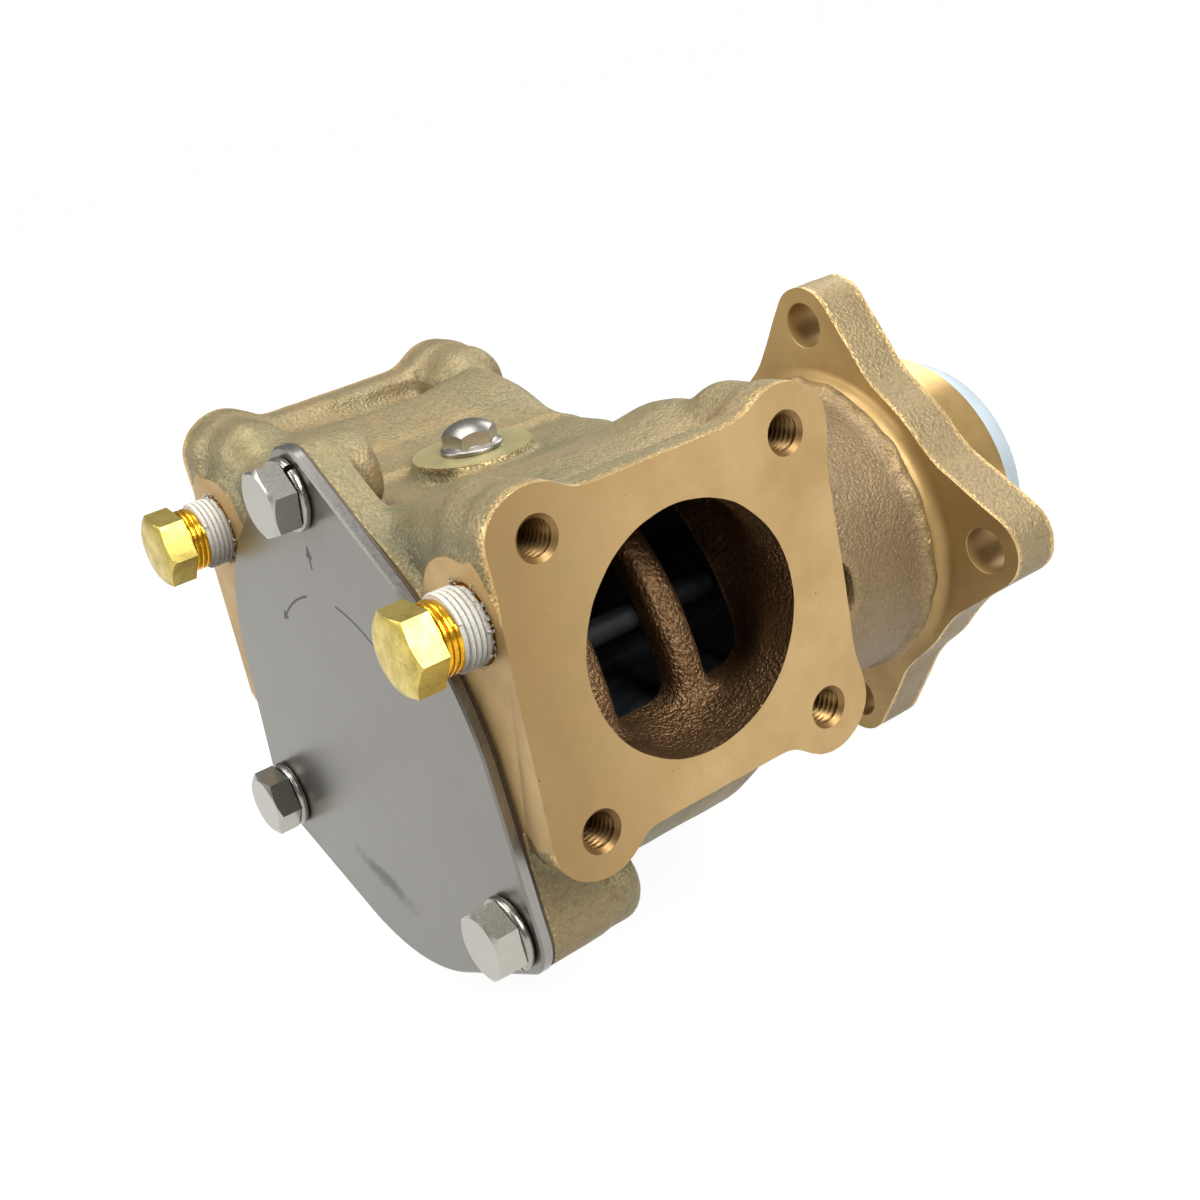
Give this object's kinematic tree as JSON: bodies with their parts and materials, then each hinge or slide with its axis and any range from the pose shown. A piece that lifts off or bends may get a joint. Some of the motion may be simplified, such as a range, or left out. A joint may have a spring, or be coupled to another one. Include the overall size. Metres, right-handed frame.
{
  "type": "seawater pump",
  "caption": "Flexible-impeller seawater pump with square port flanges, cover plate, cam and an eared drive flange with pilot.",
  "frame": {"origin": "on the shaft axis, in the plane of the drive flange's mounting face", "axes": "+Y along the shaft towards the drive end, +Z towards the cam between the ports, X through both ports"},
  "size_m": [0.125, 0.1825, 0.119],
  "materials": {
    "cast_bronze": "sand-cast bronze, machined faces",
    "machined_bronze": "machined bronze",
    "stainless": "brushed stainless steel",
    "bearing_steel": "ground bearing steel",
    "yellow_brass": "bright turned brass",
    "white_tape": "matt thread tape",
    "gasket_paper": "gasket paper",
    "black_rubber": "moulded rubber",
    "ceramic": "lapped ceramic",
    "carbon": "lapped carbon",
    "spring_steel": "oiled spring steel",
    "cage_brass": "stamped brass",
    "cap_plastic": "soft translucent plastic"
  },
  "bodies": {
    "housing": {"pump_body": "cast_bronze", "cover_plate": "stainless", "cover_gasket": "gasket_paper", "cover_screws": "stainless", "spring_washers": "stainless", "cam": "machined_bronze", "cam_screw": "stainless", "plug_left": "yellow_brass", "plug_right": "yellow_brass", "thread_tape_left": "white_tape", "thread_tape_right": "white_tape", "wear_plate": "stainless", "wear_plate_pin": "stainless", "seal_seat": "ceramic", "seal_seat_cup": "black_rubber", "lip_seal": "black_rubber", "front_outer_race": "bearing_steel", "rear_outer_race": "bearing_steel", "bearing_circlip": "spring_steel"},
    "rotor": {"shaft": "stainless", "impeller": "black_rubber", "impeller_bushing": "machined_bronze", "impeller_key": "stainless", "seal_face": "carbon", "seal_bellows": "black_rubber", "seal_spring": "stainless", "slinger": "black_rubber", "front_inner_race": "bearing_steel", "rear_inner_race": "bearing_steel", "bearing_spacer": "stainless", "shaft_circlip": "spring_steel"},
    "front_ball_set": {"front_balls": "bearing_steel", "front_cage": "cage_brass"},
    "rear_ball_set": {"rear_balls": "bearing_steel", "rear_cage": "cage_brass"},
    "cap": {"protective_cap": "cap_plastic"}
  },
  "joints": [
    {"name": "shaft_spin", "type": "hinge", "parent": "housing", "child": "rotor", "pos_m": [0, 0, 0], "axis": [0, 1, 0], "continuous": true, "deforming": ["impeller"]},
    {"name": "front_balls_roll", "type": "hinge", "parent": "housing", "child": "front_ball_set", "pos_m": [0, 0, 0], "axis": [0, 1, 0], "continuous": true},
    {"name": "rear_balls_roll", "type": "hinge", "parent": "housing", "child": "rear_ball_set", "pos_m": [0, 0, 0], "axis": [0, 1, 0], "continuous": true},
    {"name": "cap_pull", "type": "slide", "parent": "housing", "child": "cap", "axis": [0, 1, 0], "range_m": [0, 0.03]}
  ],
  "couplings": [
    {"joint": "front_balls_roll", "follows": "shaft_spin", "ratio": 0.371},
    {"joint": "rear_balls_roll", "follows": "shaft_spin", "ratio": 0.371}
  ]
}
